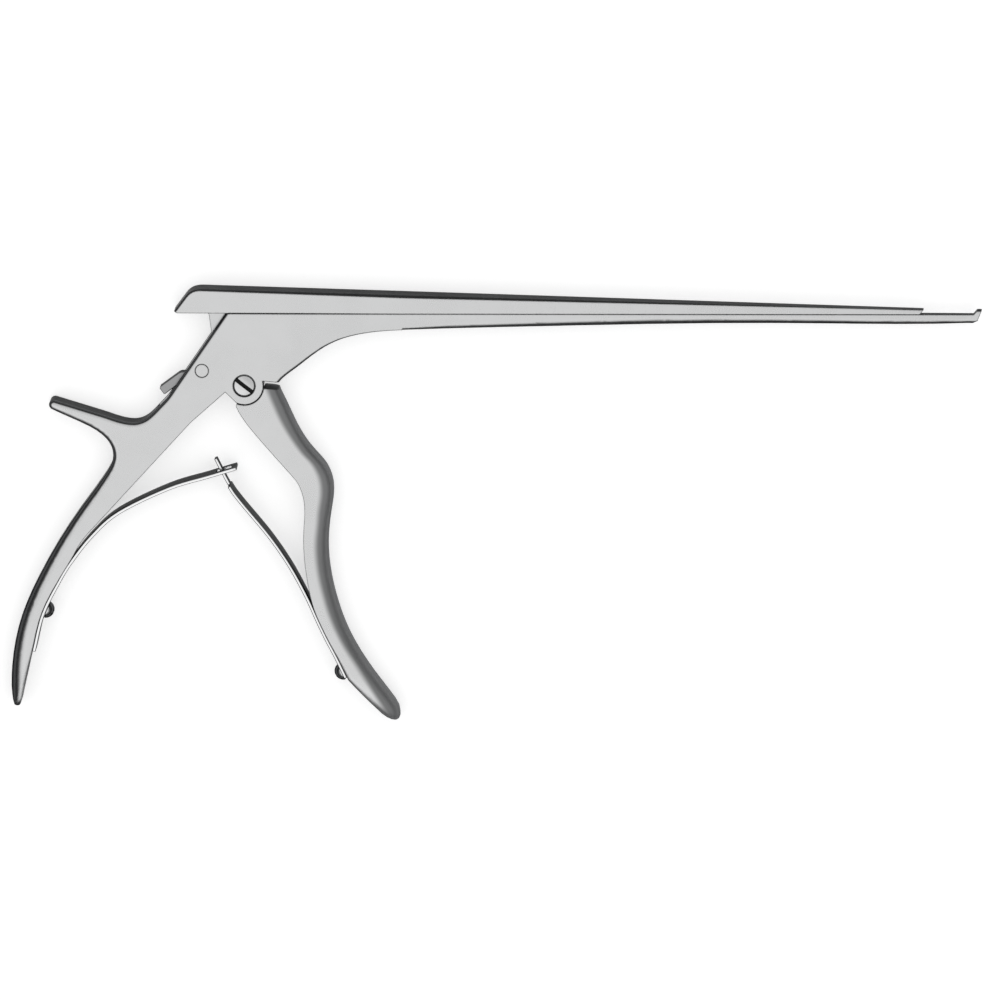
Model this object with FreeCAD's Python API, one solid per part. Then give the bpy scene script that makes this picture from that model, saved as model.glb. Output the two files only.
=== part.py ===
import FreeCAD, Part
import math
import os

# Bone biopsy punch with an up-biting foot plate and a sliding cutter bar.
# It lies on its side: +X runs along the shaft to the tip, +Y points to the slide, +Z is up.
# The origin is the trigger's pivot axis on the underside of the frame. All sizes are millimetres.

os.makedirs("parts", exist_ok=True)

Vec = FreeCAD.Vector
Z_AXIS = Vec(0, 0, 1)

# Thicknesses
BODY_T = 9.4
ARM_T = 3.9
LEVER_T = 3.8
SHAFT_W = 8.4
TIP_W = 3.2
LEAF_W = 8.2
LEAF_T = 0.95

# Clearances
FIT = 0.05
SLIDE_GAP = 0.05
KNUCKLE_GAP = 0.1
BOSS_GAP = 0.25
KEY_GAP = 0.1
SEAT_GAP = 0.02
DOME_GAP = 0.12
ARC_TOLERANCE = 0.04
KNUCKLE_TOP_GAP = 0.15
TOOTH_GAP = 0.2

# Shaft, seen from the side
SPLIT_Y = 21.23
JAW_X = 211.6
JAW_OPENING = 15.66
JAW_END_GAP = 0.1
JAW_LEAN = math.radians(50.8)
TAPER_START_X = 14.0
THROAT_END_X = 46.0
FOOT_ROOT_X = JAW_X - 2.0
TIP_H = 2.56
TIP_CORNER_R = 1.2

# Mechanism
ARM_R = 23.73
KNUCKLE_R = 3.1
HUB_R = 5.2
BOSS_R = 5.5
SHOULDER_R = 2.2
THREAD_R = 1.8
HEAD_R = 3.15
HEAD_GAP = 0.12
HEAD_H = 1.6
HEAD_SINK = 0.04
HEAD_DOME = 0.25
HEAD_CHAMFER = 0.35
HEAD_SLOT_W = 1.15
HEAD_SLOT_DEPTH = 0.95
HEAD_SLOT_TURN = -38
LOCK_PIN_R = 1.94
LOCK_PIN_SINK = 0.05
LOCK_PIN_CHAMFER = 0.12
LOCK_X = -12.26
LOCK_Y = 4.4
LEVER_HUB_R = 3.4
ARM_HALF_FRONT = 4.1
ARM_HALF_REAR = 4.05
ARM_NECK_ANGLE = math.radians(18)
WEB_REACH = 1.2

# Slide
SLIDE_REAR_X = -20.3
SLIDE_REAR_H = 7.42
SLIDE_TIP_H = 1.45
SLIDE_CHAMFER = 0.6
SLIDE_THROAT_CHAMFER = 0.9
SLIDE_TIP_CHAMFER = 0.12
NOSE_TOE_RUN = 0.9
NOSE_TOE_RISE = 0.55
CUP_LENGTH = 6.0
CUP_DEPTH = 1.0
CUP_WALL = 0.65

# Foot plate
FOOT_RISE = 1.38
FOOT_T = 1.25
FOOT_HEEL_RUN = 1.15
FOOT_HEEL_DROP = 1.75
FOOT_HEEL_R = 0.35
FOOT_TOP_R = 0.8

# Rounding of the long edges
REAR_EDGE_R = 1.25
HANDLE_EDGE_R = 4.1
THROAT_EDGE_R = 1.0
TRIGGER_EDGE_R = 2.0
TRIGGER_GRIP_R = 4.1
PADDLE_R = 3.4

# Spring screws
DOME_R = 2.5
DOME_H = 2.2
SPRING_SCREW_R = 1.2
SPRING_SCREW_DEPTH = 3.6
DOME_RIM = 0.35
DOME_SLOT_W = 0.8
DOME_SLOT_DEPTH = 0.7

# Longer than the instrument, for blanks that are cut or met
BEYOND = 400.0

# Derived values
MID_Z = BODY_T / 2
SLOT_W = ARM_T + 2 * FIT
TRAVEL = JAW_OPENING - JAW_END_GAP
HALF_SWING = math.asin(TRAVEL / 2 / ARM_R)
SLIDE_FRONT_X = JAW_X - JAW_OPENING
SLIDE_BASE_Y = SPLIT_Y + SLIDE_GAP
KNUCKLE_X = -ARM_R * math.sin(HALF_SWING)
KNUCKLE_Y = ARM_R * math.cos(HALF_SWING)


def at(point, z=0.0):
    return Vec(point[0], point[1], z)


def line(a, b):
    return Part.LineSegment(at(a), at(b)).toShape()


def arc(a, b, c):
    return Part.Arc(at(a), at(b), at(c)).toShape()


def curve(points, start, end):
    """Smooth curve through the points, leaving and arriving in the given directions."""
    first = at(start).normalize()
    last = at(end).normalize()
    spline = Part.BSplineCurve()
    spline.interpolate(Points=[at(p) for p in points], InitialTangent=first, FinalTangent=last, Scale=False)
    return spline


def smooth(points, start, end):
    """The same smooth curve as a chain of tangent arcs."""
    return [piece.toShape() for piece in curve(points, start, end).toBiArcs(ARC_TOLERANCE)]


def polygon(points):
    return Part.Wire([line(points[i - 1], points[i]) for i in range(len(points))])


def plate(wire, z0, z1):
    """Flat piece of the outline from height z0 to z1."""
    solid = Part.Face(wire).extrude(Vec(0, 0, z1 - z0))
    solid.translate(Vec(0, 0, z0))
    return solid


def centred_plate(wire, thickness):
    return plate(wire, MID_Z - thickness / 2, MID_Z + thickness / 2)


def round_rod(x, y, radius, z0, z1):
    return Part.makeCylinder(radius, z1 - z0, Vec(x, y, z0), Z_AXIS)


def block(x0, x1, y0, y1, width):
    """Box centred on the middle plane of the instrument."""
    return Part.makeBox(x1 - x0, y1 - y0, width, Vec(x0, y0, MID_Z - width / 2))


def rim_edges(solid, points, heights):
    """Edges of the solid that pass through the outline points at the given heights."""
    found = []
    for edge in solid.Edges:
        spots = [Part.Vertex(at(p, z)) for p in points for z in heights]
        if any(edge.distToShape(spot)[0] < 1.5 * ARC_TOLERANCE for spot in spots):
            found.append(edge)
    return found


def width_at(x):
    """Width of the shaft across the instrument."""
    share = (x - THROAT_END_X) / (FOOT_ROOT_X - THROAT_END_X)
    return SHAFT_W + (TIP_W - SHAFT_W) * min(1.0, max(0.0, share))


# Rear handle, spur and body

REAR_TOP = (-5.3, SPLIT_Y)
SADDLE_START = (-21.7, -2.8)
SPUR_START = (-41.4, -8.8)
SPUR_TIP = (-55.45, -5.97)
SPUR_TIP_R = 1.42
SPUR_UNDERSIDE = math.radians(-26.6)
HANDLE_END_OUT = (-68.7, -89.6)
HANDLE_END_TURN = (-68.2, -93.4)
HANDLE_END_TIP = (-66.85, -95.5)
HANDLE_END_RISE = (-65.95, -94.7)
HANDLE_END_IN = (-65.4, -92.6)
SADDLE = (SADDLE_START, (-25.2, -6.8), (-27.7, -9.3), (-30.8, -10.9), (-35.2, -10.75), SPUR_START)
WEB = ((-46.6, -11.6), (-41.1, -15.1), (-38.7, -18.5), (-38.4, -21.9), (-40.0, -25.6), (-42.3, -29.1))
HANDLE_BACK = ((-47.5, -36.2), (-54.5, -46.7), (-60.4, -57.3), (-65.1, -67.9), (-67.8, -78.5),
               HANDLE_END_OUT)
REAR_SEAT = ((-62.35, -79.0), (-59.6, -68.0), (-54.9, -58.5), (-51.2, -52.4))
REAR_SEAT_START = (0.2, 1.0)
REAR_SEAT_END = (0.52, 0.85)
GRIP = (REAR_SEAT[-1], (-48.4, -47.4), (-42.0, -39.8))
GRIP_END_DIR = (0.67, 0.74)
NECK = (-15.6, -10.9)
NOTCH = (-5.5, -1.9)
BOSS_REAR = (-2.35, -4.97)
BOSS_FRONT = (5.3, 1.47)
BOSS_MID_ANGLE = math.radians(-53)
THROAT_CORNER = (10.1, 1.0)
THROAT_H = 4.75
THROAT = (THROAT_CORNER, (15.0, 5.2), (22.0, 10.6), (29.0, 14.05), (36.0, 15.65),
          (THROAT_END_X, SPLIT_Y - THROAT_H))
THROAT_START_DIR = (0.7, 0.9)
THROAT_END_DIR = (1.0, 0.03)


def on_circle(centre, radius, angle):
    return (centre[0] + radius * math.cos(angle), centre[1] + radius * math.sin(angle))


def touch_angle(start, centre, radius):
    """Angle on the circle where a straight line from start touches it, on its upper side."""
    back = math.atan2(start[1] - centre[1], start[0] - centre[0])
    distance = math.hypot(start[0] - centre[0], start[1] - centre[1])
    return back + math.acos(radius / distance)


def frame_outline():
    """Side outline of body, spur and rear handle, as one closed wire."""
    rear_dir = (SADDLE_START[0] - REAR_TOP[0], SADDLE_START[1] - REAR_TOP[1])
    top_angle = touch_angle(SPUR_START, SPUR_TIP, SPUR_TIP_R)
    low_angle = SPUR_UNDERSIDE + 1.5 * math.pi
    spur_top = on_circle(SPUR_TIP, SPUR_TIP_R, top_angle)
    spur_end = on_circle(SPUR_TIP, SPUR_TIP_R, (top_angle + low_angle) / 2)
    spur_low = on_circle(SPUR_TIP, SPUR_TIP_R, low_angle)
    spur_dir = (spur_top[0] - SPUR_START[0], spur_top[1] - SPUR_START[1])
    web_dir = (math.cos(SPUR_UNDERSIDE), math.sin(SPUR_UNDERSIDE))
    edges = [line(REAR_TOP, SADDLE_START)]
    edges += smooth(SADDLE, rear_dir, spur_dir)
    edges += [line(SPUR_START, spur_top), arc(spur_top, spur_end, spur_low)]
    edges += [curve((spur_low,) + WEB + HANDLE_BACK, web_dir, (0.0, -1.0)).toShape()]
    edges += [curve((HANDLE_END_OUT, HANDLE_END_TURN, HANDLE_END_TIP), (0.18, -0.98), (1.0, 0.0)).toShape()]
    edges += [curve((HANDLE_END_TIP, HANDLE_END_RISE, HANDLE_END_IN), (1.0, 0.0), (0.2, 0.98)).toShape()]
    edges += [line(HANDLE_END_IN, REAR_SEAT[0])]
    edges += [curve(REAR_SEAT, REAR_SEAT_START, REAR_SEAT_END).toShape()]
    edges += smooth(GRIP, REAR_SEAT_END, GRIP_END_DIR)
    edges += [line(GRIP[-1], NECK), line(NECK, NOTCH), line(NOTCH, BOSS_REAR)]
    edges += [arc(BOSS_REAR, on_circle((0, 0), BOSS_R, BOSS_MID_ANGLE), BOSS_FRONT)]
    edges += [line(BOSS_FRONT, THROAT_CORNER)]
    edges += smooth(THROAT, THROAT_START_DIR, THROAT_END_DIR)
    edges += [line(THROAT[-1], (THROAT_END_X, SPLIT_Y)), line((THROAT_END_X, SPLIT_Y), REAR_TOP)]
    return Part.Wire(edges)


def paddle_end(tip, away, corner):
    """Blank that rounds the corners of a handle's end. away points out of the end."""
    blank = Part.makeBox(BEYOND, 2 * BEYOND, BODY_T, Vec(-BEYOND, -BEYOND, 0))
    ends = [e for e in blank.Edges if e.CenterOfMass.x > -FIT and abs(e.CenterOfMass.z - MID_Z) > MID_Z - FIT]
    blank = blank.makeFillet(corner, ends)
    blank.rotate(Vec(0, 0, 0), Z_AXIS, math.degrees(math.atan2(away[1], away[0])))
    blank.translate(at(tip))
    return blank


def body_plate():
    """Body with handle and spur, its long edges rounded and its front tapered to the shaft."""
    plain = plate(frame_outline(), 0, BODY_T)
    faces = (0, BODY_T)
    plain = plain.makeFillet(REAR_EDGE_R, HANDLE_EDGE_R, rim_edges(plain, [WEB[0]], faces))
    plain = plain.makeFillet(THROAT_EDGE_R, rim_edges(plain, [THROAT[2]], faces))
    tip = (HANDLE_END_TIP[0], HANDLE_END_TIP[1] - END_TRIM)
    return plain.common(paddle_end(tip, (0, -1), PADDLE_R))


def shaft_section(x, height, corner):
    """Closed section of the shank bar: flat top, straight sides, rounded bottom."""
    half = width_at(x) / 2
    side_y = SPLIT_Y - height + corner
    diag = corner * (1 - math.sqrt(0.5))

    def p(z, y):
        return Vec(x, y, MID_Z + z)

    low = SPLIT_Y - height
    edges = [
        Part.LineSegment(p(-half, SPLIT_Y), p(-half, side_y)).toShape(),
        Part.Arc(p(-half, side_y), p(-half + diag, low + diag), p(-half + corner, low)).toShape(),
        Part.LineSegment(p(-half + corner, low), p(half - corner, low)).toShape(),
        Part.Arc(p(half - corner, low), p(half - diag, low + diag), p(half, side_y)).toShape(),
        Part.LineSegment(p(half, side_y), p(half, SPLIT_Y)).toShape(),
        Part.LineSegment(p(half, SPLIT_Y), p(-half, SPLIT_Y)).toShape(),
    ]
    return Part.Wire(edges)


def shank_bar():
    """Shank from the throat to the foot plate, flat-sided at first and half round at the tip."""
    stations = (
        (THROAT_END_X, THROAT_H, THROAT_EDGE_R),
        (70.0, 4.1, 1.5),
        (98.0, 3.5, 1.9),
        (126.0, 2.95, 1.9),
        (165.0, 2.78, 1.6),
        (FOOT_ROOT_X, TIP_H, TIP_CORNER_R),
    )
    return Part.makeLoft([shaft_section(*s) for s in stations], True, False)


def foot_plate():
    """Up-biting foot: a leaning plate whose face is parallel to the slide's end."""
    top = SPLIT_Y + FOOT_RISE
    low = SPLIT_Y - TIP_H
    face_run = FOOT_RISE / math.tan(JAW_LEAN)
    heel = (JAW_X + FOOT_HEEL_RUN, SPLIT_Y - FOOT_HEEL_DROP)
    side = polygon((
        (FOOT_ROOT_X, SPLIT_Y),
        (JAW_X, SPLIT_Y),
        (JAW_X + face_run, top),
        (JAW_X + face_run + FOOT_T, top - FIT),
        heel,
        (JAW_X - FOOT_HEEL_R, low),
        (FOOT_ROOT_X, low),
    ))
    blank = centred_plate(side, TIP_W)
    blank = blank.makeFillet(FOOT_HEEL_R, rim_edges(blank, [heel], [MID_Z]))
    end_view = block(FOOT_ROOT_X, JAW_X + 2 * FOOT_T + face_run, low, top, TIP_W)
    end_view = end_view.makeFillet(FOOT_TOP_R, lengthwise_edges(end_view, top))
    end_view = end_view.makeFillet(TIP_CORNER_R, lengthwise_edges(end_view, low))
    return blank.common(end_view)


def lengthwise_edges(solid, height):
    """Edges of the solid that run along the shaft at the given height."""
    return [
        e for e in solid.Edges
        if abs(e.tangentAt(e.FirstParameter).x) > 0.9 and abs(e.CenterOfMass.y - height) < FIT
    ]


def plan_taper():
    """Blank that narrows the body's front to the width of the shaft."""
    half_body = BODY_T / 2
    half_shaft = SHAFT_W / 2
    end_x = THROAT_END_X + FOOT_T
    near = [(-BEYOND, half_body), (TAPER_START_X, half_body), (THROAT_END_X, half_shaft), (end_x, half_shaft)]
    corners = near + [(x, -z) for x, z in reversed(near)]
    pts = [Vec(x, -BEYOND, MID_Z + z) for x, z in corners]
    wire = Part.makePolygon(pts + [pts[0]])
    return Part.Face(wire).extrude(Vec(0, 2 * BEYOND, 0))


# Slot of the fork, open at the top, at the rear edge and under the boss

SLOT_FRONT_TOP = (11.6, SPLIT_Y)
SLOT_FLOOR_FRONT = (-6.4, -1.4)
SLOT_FLOOR_REAR = (-25.6, -7.2)
SLOT_REAR_END = (-34.0, -3.0)
SLOT_FRONT_X = 6.3
SLOT_FRONT_LOW_Y = -0.5
SLOT_BOSS_FLOOR = (-5.0, -9.0)
SLOT_OVER_Y = SPLIT_Y + 3.0


def fork_slot():
    return centred_plate(polygon((
        (SLOT_FRONT_TOP[0], SLOT_OVER_Y),
        SLOT_FRONT_TOP,
        (SLOT_FRONT_X, SLOT_FRONT_LOW_Y),
        (SLOT_FRONT_X, SLOT_BOSS_FLOOR[1]),
        SLOT_BOSS_FLOOR,
        SLOT_FLOOR_FRONT,
        SLOT_FLOOR_REAR,
        SLOT_REAR_END,
        (SLOT_REAR_END[0], SLOT_OVER_Y),
    )), SLOT_W)


# Guides that hold the slide down on the shank: T-shaped keys in undercut grooves

RELEASE_SHIFT = 4.0
POCKET_REAR_GAP = 0.4
POCKET_FRONT_GAP = 0.6
TRACK_END_GAP = 0.8
KEY_ROOT = 0.3
REAR_KEY = {"x": 15.0, "length": 7.0, "neck": 2.0, "head": 3.6, "lip": 1.2, "head_h": 1.2}
FRONT_KEY = {"x": 149.0, "length": 6.0, "neck": 1.6, "head": 2.6, "lip": 0.7, "head_h": 0.85}


def key_solid(key):
    """Key under the slide: a narrow neck with a wider head."""
    x0 = key["x"]
    x1 = x0 + key["length"]
    neck_low = SPLIT_Y - key["lip"] - KEY_GAP
    neck = block(x0, x1, neck_low, SLIDE_BASE_Y + KEY_ROOT, key["neck"])
    head = block(x0, x1, neck_low - key["head_h"], neck_low, key["head"])
    return neck.fuse(head)


def key_groove(key):
    """Groove in the shank: an open pocket at its rear and an undercut track ahead of it."""
    pocket_start = key["x"] - RELEASE_SHIFT - POCKET_REAR_GAP
    pocket_end = key["x"] - RELEASE_SHIFT + key["length"] + POCKET_FRONT_GAP
    track_end = key["x"] + key["length"] + TRAVEL + TRACK_END_GAP
    floor_y = SPLIT_Y - key["lip"] - 2 * KEY_GAP - key["head_h"]
    roof_y = SPLIT_Y - key["lip"]
    pocket = block(pocket_start, pocket_end, floor_y, SPLIT_Y + 1, key["head"] + 2 * KEY_GAP)
    track = block(pocket_start, track_end, floor_y, roof_y, key["head"] + 2 * KEY_GAP)
    mouth = block(pocket_start, track_end, floor_y, SPLIT_Y + 1, key["neck"] + 2 * KEY_GAP)
    return pocket.fuse([track, mouth])


# Leaf springs

REAR_LEAF_FREE = ((-45.0, -44.5), (-37.0, -37.4), (-22.35, -30.2), (-10.7, -26.6), (-2.6, -24.1))
FRONT_SEAT = ((29.6, -86.4), (26.7, -80.3), (23.95, -75.0), (21.4, -69.6))
FRONT_SEAT_START = (-0.42, 0.91)
FRONT_SEAT_END = (-0.42, 0.91)
FRONT_LEAF_FREE = ((18.1, -62.2), (13.4, -53.4), (7.4, -44.5), (-1.0, -34.2), (-4.2, -29.6), (-8.2, -21.8))
FRONT_LEAF_END_DIR = (-0.43, 0.9)
REAR_LEAF_END_DIR = (0.95, 0.31)
TONGUE_L = 8.0
TONGUE_W = 3.0
TONGUE_SLOT_W = 3.8
TONGUE_SHOULDER = (-4.4, -29.8)
TONGUE_SLOT_REAR_X = -8.6
TONGUE_SLOT_FRONT_X = -4.1


def beside(spline, offset):
    """Curve at an even distance from the given one, to the left of its travel."""
    count = 6
    first = spline.FirstParameter
    last = spline.LastParameter
    points = []
    for i in range(count + 1):
        u = first + (last - first) * i / count
        tangent = spline.tangent(u)[0]
        points.append(spline.value(u) + Vec(-tangent.y, tangent.x, 0) * offset)
    return curve(points, spline.tangent(first)[0], spline.tangent(last)[0])


def ribbon(base_curves, side, gap, thickness, width):
    """Strip of even thickness beside a chain of curves. side is 1 to the left of travel, else -1."""
    inner = [beside(spline, side * gap) for spline in base_curves]
    outer = [beside(spline, side * (gap + thickness)) for spline in base_curves]
    edges = [spline.toShape() for spline in inner + outer]
    edges.append(Part.LineSegment(inner[0].StartPoint, outer[0].StartPoint).toShape())
    edges.append(Part.LineSegment(inner[-1].EndPoint, outer[-1].EndPoint).toShape())
    return centred_plate(Part.Wire(Part.__sortEdges__(edges)), width)


def rear_leaf_curves():
    free = (REAR_SEAT[-1],) + REAR_LEAF_FREE
    seat = curve(REAR_SEAT, REAR_SEAT_START, REAR_SEAT_END)
    return [seat, curve(free, REAR_SEAT_END, REAR_LEAF_END_DIR)]


def front_leaf_curves():
    free = (FRONT_SEAT[-1],) + FRONT_LEAF_FREE
    seat = curve(FRONT_SEAT, FRONT_SEAT_START, FRONT_SEAT_END)
    return [seat, curve(free, FRONT_SEAT_END, FRONT_LEAF_END_DIR)]


REAR_SCREW_AT = 0.43
FRONT_SCREW_AT = 0.09


def screw_seat(seat_curve, share, side):
    """Point on the seat and the direction in which the screw head faces."""
    u = seat_curve.FirstParameter + (seat_curve.LastParameter - seat_curve.FirstParameter) * share
    point = seat_curve.value(u)
    tangent = seat_curve.tangent(u)[0]
    facing = Vec(-tangent.y * side, tangent.x * side, 0)
    return Vec(point.x, point.y, MID_Z), facing


def rear_screw_seat():
    return screw_seat(rear_leaf_curves()[0], REAR_SCREW_AT, -1)


def front_screw_seat():
    return screw_seat(front_leaf_curves()[0], FRONT_SCREW_AT, 1)


def screw_hole(seat, extra):
    point, facing = seat
    start = point - facing * (SPRING_SCREW_DEPTH + extra)
    return Part.makeCylinder(SPRING_SCREW_R + extra, SPRING_SCREW_DEPTH + extra + 3, start, facing)


def spring_screw(seat):
    """Dome-head screw: the domed head is a revolved arc, the shank is round."""
    point, facing = seat
    sagitta = DOME_H - DOME_RIM
    dome_r = (DOME_R ** 2 + sagitta ** 2) / (2 * sagitta)
    half_angle = math.asin(DOME_R / dome_r) / 2
    mid = Vec(dome_r * math.sin(half_angle), 0, DOME_H - dome_r + dome_r * math.cos(half_angle))
    low = -SPRING_SCREW_DEPTH - LEAF_T
    corners = [(0, low), (SPRING_SCREW_R, low), (SPRING_SCREW_R, 0), (DOME_R, 0), (DOME_R, DOME_RIM)]
    points = [Vec(r, 0, z) for r, z in corners]
    edges = [Part.LineSegment(a, b).toShape() for a, b in zip(points, points[1:])]
    edges.append(Part.Arc(points[-1], mid, Vec(0, 0, DOME_H)).toShape())
    edges.append(Part.LineSegment(Vec(0, 0, DOME_H), points[0]).toShape())
    screw = Part.Face(Part.Wire(edges)).revolve(Vec(0, 0, 0), Z_AXIS, 360)
    slot_corner = Vec(-1.5 * DOME_R, -DOME_SLOT_W / 2, DOME_H - DOME_SLOT_DEPTH)
    slot = Part.makeBox(3 * DOME_R, DOME_SLOT_W, DOME_H, slot_corner)
    screw = screw.cut(slot)
    under_head = point + facing * (LEAF_T + DOME_GAP)
    screw.Placement = FreeCAD.Placement(under_head, FreeCAD.Rotation(Z_AXIS, facing))
    return screw


# Trigger

TRIGGER_TOP_IN = (5.72, -0.8)
TRIGGER_TOP_OUT = (10.05, -1.15)
KINK_OUT = (23.85, -24.15)
TRIGGER_END_OUT = (44.2, -95.3)
TRIGGER_END_TIP = (43.3, -99.4)
TRIGGER_END_IN = (40.5, -98.0)
TRIGGER_GRIP_IN = (17.1, -42.0)
KINK_IN = (14.4, -27.3)
TRIGGER_HEEL = (-2.45, -6.06)
TRIGGER_OUTER = (TRIGGER_TOP_OUT, (11.75, -4.9), (15.0, -11.9), (19.65, -19.1), KINK_OUT, (25.6, -29.0),
                 (24.85, -38.7), (24.2, -49.5), (26.45, -62.8), (30.4, -73.6), (36.8, -84.3),
                 TRIGGER_END_OUT)
TRIGGER_TOP_DIR = (0.33, -0.94)
TRIGGER_END_DIR = (0.5, -0.86)
TRIGGER_AWAY = (0.42, -0.91)
END_TRIM = 0.1
TRIGGER_END_SIDE = (TRIGGER_END_IN, (36.6, -94.4), (31.3, -89.3), FRONT_SEAT[0])
KINK_IN_DIR = (-0.66, 0.75)
TRIGGER_END_IN_DIR = (-0.7, 0.7)
TRIGGER_INNER = (FRONT_SEAT[-1], (19.45, -64.3), (18.0, -57.3), (17.0, -47.5), TRIGGER_GRIP_IN,
                 (17.25, -34.5), (16.3, -30.7), KINK_IN)
TRIGGER_UNDER = (KINK_IN, (5.1, -16.7), TRIGGER_HEEL)
TRIGGER_HEEL_DIR = (-0.42, 0.9)


def trigger_outline():
    """Side outline of the front handle, hollowed round the boss of the frame."""
    ring = BOSS_R + BOSS_GAP
    top_in, ring_mid, heel_in = [on_circle((0, 0), ring, math.radians(a)) for a in (-8, -60, -113)]
    edges = [line(top_in, TRIGGER_TOP_OUT)]
    edges += [curve(TRIGGER_OUTER, TRIGGER_TOP_DIR, TRIGGER_END_DIR).toShape()]
    edges += [arc(TRIGGER_END_OUT, TRIGGER_END_TIP, TRIGGER_END_IN)]
    edges += smooth(TRIGGER_END_SIDE, TRIGGER_END_IN_DIR, FRONT_SEAT_START)
    edges += [curve(FRONT_SEAT, FRONT_SEAT_START, FRONT_SEAT_END).toShape()]
    edges += smooth(TRIGGER_INNER, FRONT_SEAT_END, KINK_IN_DIR)
    edges += smooth(TRIGGER_UNDER, KINK_IN_DIR, TRIGGER_HEEL_DIR)
    edges += [line(TRIGGER_HEEL, heel_in), arc(heel_in, ring_mid, top_in)]
    return Part.Wire(edges)


def arm_point(lateral, reach):
    """Point of the drive arm, given across and along it, at rest."""
    s = math.sin(HALF_SWING)
    c = math.cos(HALF_SWING)
    return (lateral * c - reach * s, lateral * s + reach * c)


def drive_arm():
    """Arm from the hub up to the knuckle that pushes the slide."""
    neck = KNUCKLE_R * math.cos(ARM_NECK_ANGLE)
    neck_reach = ARM_R - KNUCKLE_R * math.sin(ARM_NECK_ANGLE)
    wide_reach = ARM_R - 2 * KNUCKLE_R
    root = HUB_R - 2 * KNUCKLE_GAP
    front = ((neck, neck_reach), (ARM_HALF_FRONT, wide_reach), (ARM_HALF_FRONT, HUB_R), (root, 0))
    low_reach = HUB_R + KNUCKLE_R
    rear = ((-root, 0), (-ARM_HALF_REAR, low_reach), (-ARM_HALF_REAR, wide_reach), (-neck, neck_reach))
    outline = polygon([arm_point(*p) for p in front + rear])
    arm = centred_plate(outline, ARM_T)
    knuckle = round_rod(KNUCKLE_X, KNUCKLE_Y, KNUCKLE_R, MID_Z - ARM_T / 2, MID_Z + ARM_T / 2)
    hub = round_rod(0, 0, HUB_R, MID_Z - ARM_T / 2, MID_Z + ARM_T / 2)
    return arm.fuse([knuckle, hub])


def trigger_web():
    """Thin web between the hub and the full thickness of the handle."""
    reach = BOSS_R + BOSS_GAP + WEB_REACH
    rim = [on_circle((0, 0), reach, math.radians(a)) for a in (-10, -60, -111)]
    wire = Part.Wire([line((0, 0), rim[0]), arc(*rim), line(rim[2], (0, 0))])
    return centred_plate(wire, ARM_T)


def make_trigger():
    handle = plate(trigger_outline(), 0, BODY_T)
    faces = (0, BODY_T)
    outer = rim_edges(handle, [TRIGGER_OUTER[2]], faces)
    handle = handle.makeFillet(TRIGGER_EDGE_R, TRIGGER_GRIP_R, outer)
    tip = (TRIGGER_END_TIP[0], TRIGGER_END_TIP[1] - END_TRIM)
    handle = handle.common(paddle_end(tip, TRIGGER_AWAY, PADDLE_R))
    solid = handle.fuse([drive_arm(), trigger_web()])
    solid = solid.cut(round_rod(0, 0, SHOULDER_R + FIT, -1, BODY_T + 1))
    solid = solid.cut(screw_hole(front_screw_seat(), SEAT_GAP))
    return solid.removeSplitter()


# Release lever, its pin and its spring

TOOTH_REACH = (12.7, 10.9)
LEVER_OUTLINE = (
    arm_point(-ARM_HALF_REAR - 6 * TOOTH_GAP, TOOTH_REACH[0] + TOOTH_GAP),
    arm_point(-ARM_HALF_REAR - TOOTH_GAP, TOOTH_REACH[0]),
    arm_point(-ARM_HALF_REAR - TOOTH_GAP, TOOTH_REACH[1]),
    (-8.6, 4.6),
    (-12.4, 1.0),
    (-16.3, 1.3),
    (-20.1, -0.68),
    (-23.2, -2.98),
    (-23.55, -2.9),
    (-24.7, -1.35),
    (-24.6, -0.85),
    (-19.1, 3.22),
    (-18.4, 3.5),
    (-16.5, 3.62),
    (-15.1, 6.2),
    (-12.6, 7.7),
)


def make_lock_lever():
    """Lever with a hub on the pin, a tooth against the arm and a thumb end outside."""
    blade = centred_plate(polygon(LEVER_OUTLINE), LEVER_T)
    hub = round_rod(LOCK_X, LOCK_Y, LEVER_HUB_R, MID_Z - LEVER_T / 2, MID_Z + LEVER_T / 2)
    lever = blade.fuse(hub).cut(round_rod(LOCK_X, LOCK_Y, LOCK_PIN_R + FIT, -1, BODY_T + 1))
    return lever.removeSplitter()


def make_lock_pin():
    pin = round_rod(LOCK_X, LOCK_Y, LOCK_PIN_R, LOCK_PIN_SINK, BODY_T - LOCK_PIN_SINK)
    ends = [e for e in pin.Edges if isinstance(e.Curve, Part.Circle)]
    return pin.makeChamfer(LOCK_PIN_CHAMFER, ends)


LOCK_SPRING_T = 0.35
LOCK_SPRING_W = 3.2
LOCK_SPRING_FOOT = 3.0
SPRING_CUT_REAR_GAP = 0.25
LOCK_SPRING_PATH = ((-10.2, -4.1), (-10.7, -2.1), (-13.6, -0.55), (-17.8, 0.05))
LOCK_SPRING_START = (-0.1, 1.0)
LOCK_SPRING_END = (-0.98, -0.12)


def lock_spring_strip(thickness, width):
    return ribbon([curve(LOCK_SPRING_PATH, LOCK_SPRING_START, LOCK_SPRING_END)], -1, 0.0, thickness, width)


def spring_cut():
    """Saw cut in the floor of the slot that holds the foot of the small leaf."""
    foot = LOCK_SPRING_PATH[0]
    rear_x = foot[0] - SEAT_GAP - SPRING_CUT_REAR_GAP
    front_x = foot[0] + LOCK_SPRING_T + SEAT_GAP + FIT
    width = LOCK_SPRING_W + 2 * SEAT_GAP
    return block(rear_x, front_x, foot[1] - SEAT_GAP, foot[1] + LOCK_SPRING_FOOT, width)


def make_lock_spring():
    """Small leaf that pushes the lever back, standing in the floor of the slot."""
    return lock_spring_strip(LOCK_SPRING_T, LOCK_SPRING_W)


# Slide

POCKET_FLARE = 0.8
POCKET_WALL_Y = KNUCKLE_Y + 0.58


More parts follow.
